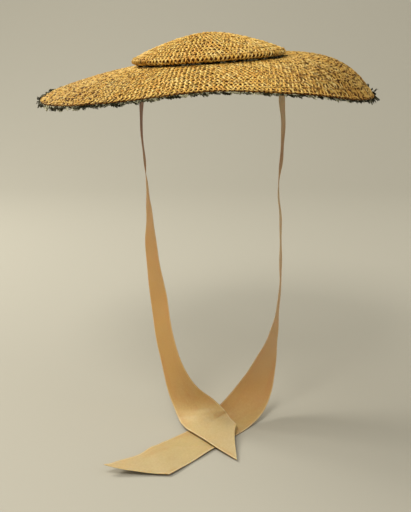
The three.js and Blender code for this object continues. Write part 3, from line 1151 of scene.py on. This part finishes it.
def ribbonPiece(shape, finish):
    path, columns = shape["path"], ribbonShape["columns"]
    surface = ribbonSurface(path)
    shadeAndLightRows = [row[-1] for row in path]
    last = len(path) - 1
    rows = last * ribbonShape["steps"]
    cutRows = shape["cut"] / (pathPoint(*path[last][:3]) - pathPoint(*path[last - 1][:3])).length
    half, probe = ribbonShape["thickness"] / 2, 0.05
    rings, ringShadeAndLight = [], []
    for row in range(rows + 1):
        upper, lower = [], []
        for column in range(columns + 1):
            across = column / columns * 2 - 1
            end = last - cutRows * (1 + shape["shortSide"] * across) / 2
            place = row / rows * end
            ahead = surface(min(place + probe, end), across) - surface(max(place - probe, 0), across)
            side = surface(place, min(across + probe, 1)) - surface(place, max(across - probe, -1))
            normal = ahead.cross(side).normalized()
            point = surface(place, across) + normal * wrinkle(place, across, last)
            upper.append(point + normal * half)
            lower.append(point - normal * half)
        rings.append(upper + lower[::-1] + [upper[0]])
        ringShadeAndLight += [pathColumn(shadeAndLightRows, place)] * len(rings[-1])
    mesh = gridMesh(shape["name"], rings, closedRound=False)
    # how much painted shade (over 0) and painted light (under 0) each ring has
    storeOnPoints(mesh, "shadeAndLight", ringShadeAndLight)

    def uvAt(a, b):
        # the lower face runs back over the width
        across = b if b <= columns else 2 * columns + 1 - b
        return min(max(across, 0), columns) / columns, a / rows

    mapGrid(mesh, len(rings[0]) - 1, uvAt)
    closeMesh(mesh)
    mesh.set_sharp_from_angle(angle=math.radians(ribbonShape["sharpAngle"]))
    piece = addPiece(shape["name"], mesh, finish, shape["node"])
    stations = [surface(min(k / 40 * last, last), 0) for k in range(41)]
    length = sum((b - a).length for a, b in zip(stations, stations[1:]))
    print(shape["name"], "length", round(length, 3))


# Camera, floor and lights.

cameraSettings = {
    "place": (-0.0039, -1.2, 0.107),
    "pitchDown": 15.358,
    "lens": 74.757,
    "longSide": 36,
}

studio = {
    "floorGap": 0.0004,  # under the lowest point of the ribbons
    "floorFront": -3.0,
    "wallPlace": 2.4,
    "wallBend": 1.2,
    "bendSteps": 24,
    "wallHeight": 4.0,
    "halfWidth": 5.0,
    "paper": (0.43, 0.412, 0.345),
    "ambient": (1.0, 0.97, 0.9),
    "ambientStrength": 0.56,
}

paperLook = {"roughness": 0.95, "specular": 0.1}

# side light from the left, a softer one over the camera, and weak ones that open the shadows:
# name, place, aim, size, power and warmth
softBoxes = [
    ("key", (-1.2, 0.5, 1.0), (0, 0, -0.1), 0.8, 25, 1),
    ("front", (-0.5, -1.2, 1.6), (0, 0, -0.1), 0.8, 23.5, 1),
    ("fill", (1.9, -1.6, 0.9), (0, 0, -0.1), 1.6, 3.5, 0),
    ("top", (-0.6, 1.5, 1.9), (0, 0, -0.1), 1.2, 2, 0),
    ("wall", (-0.9, 0.6, 0.5), (-0.5, 2.0, 0.0), 0.5, 4.2, 1),
    ("glow", (1.0, 0.6, 0.3), (0.6, 2.0, -0.1), 0.5, 2, 1),
]


def makeCamera():
    data = bpy.data.cameras.new("camera")
    data.lens = cameraSettings["lens"]
    data.sensor_width = cameraSettings["longSide"]
    data.clip_start, data.clip_end = 0.05, 50
    camera = bpy.data.objects.new("camera", data)
    camera.location = cameraSettings["place"]
    camera.rotation_euler = (math.radians(90 - cameraSettings["pitchDown"]), 0, 0)
    collection.objects.link(camera)
    bpy.context.scene.camera = camera


def makeSweep():
    # a floor of paper that bends up into the wall
    floor, bend, steps = cadLow.z - studio["floorGap"], studio["wallBend"], studio["bendSteps"]
    bendStart = studio["wallPlace"] - bend
    line = [(studio["floorFront"], floor), (bendStart, floor)]
    for k in range(1, steps + 1):
        angle = math.pi / 2 * k / steps
        line.append((bendStart + bend * math.sin(angle), floor + bend - bend * math.cos(angle)))
    line.append((studio["wallPlace"], studio["wallHeight"]))
    rings = [[Vector((side * studio["halfWidth"], y, z)) for y, z in line] for side in (1, -1)]
    mesh = gridMesh("paper_sweep", rings, closedRound=False)
    for face in mesh.polygons:
        face.use_smooth = True
    material, maker, shader = newMaterial("paper")
    finishShader(maker, shader, (*studio["paper"], 1), paperLook)
    mesh.materials.append(material)
    sweep = bpy.data.objects.new("paper_sweep", mesh)
    collection.objects.link(sweep)


def addSoftBox(name, place, aim, size, power, warm):
    data = bpy.data.lights.new(name, "AREA")
    data.shape = "SQUARE"
    data.size, data.energy = size, power
    data.color = (1, 1 - 0.04 * warm, 1 - 0.11 * warm)
    light = bpy.data.objects.new(name, data)
    light.location = place
    light.rotation_euler = (Vector(aim) - Vector(place)).to_track_quat("-Z", "Y").to_euler()
    collection.objects.link(light)


def makeStudio():
    makeCamera()
    makeSweep()
    for box in softBoxes:
        addSoftBox(*box)
    world = bpy.data.worlds.new("studio")
    world.use_nodes = True
    background = world.node_tree.nodes["Background"]
    background.inputs["Color"].default_value = (*studio["ambient"], 1)
    background.inputs["Strength"].default_value = studio["ambientStrength"]
    bpy.context.scene.world = world
    bpy.context.scene.view_settings.view_transform = "Standard"


def makeHat():
    straw, shadeCore = (strawMaterial(), "straw"), (shadeCoreMaterial(), "straw")
    frayed, silk = (frayedMaterial(), "frayed_silk"), (ribbonMaterial(), "silk_ribbon")
    brimGuide = guideSurface("brimGuide", brimPoint, brimGrid, tipReach, tipPerk)
    crownGuide = guideSurface("crownGuide", crownPoint, crownGrid)
    bandGuide = guideSurface("bandGuide", bandPoint, bandGrid, bandReach)
    makeStraw(straw, shadeCore, brimGuide, crownGuide)
    makeSilkTrim(frayed, brimGuide, bandGuide)
    ribbonPiece(rightRibbon, silk)
    ribbonPiece(leftRibbon, silk)
    for guide in (brimGuide, crownGuide, bandGuide):
        bpy.data.objects.remove(guide)


makeStudio()
print("studio ready")
makeHat()
print("hat ready")
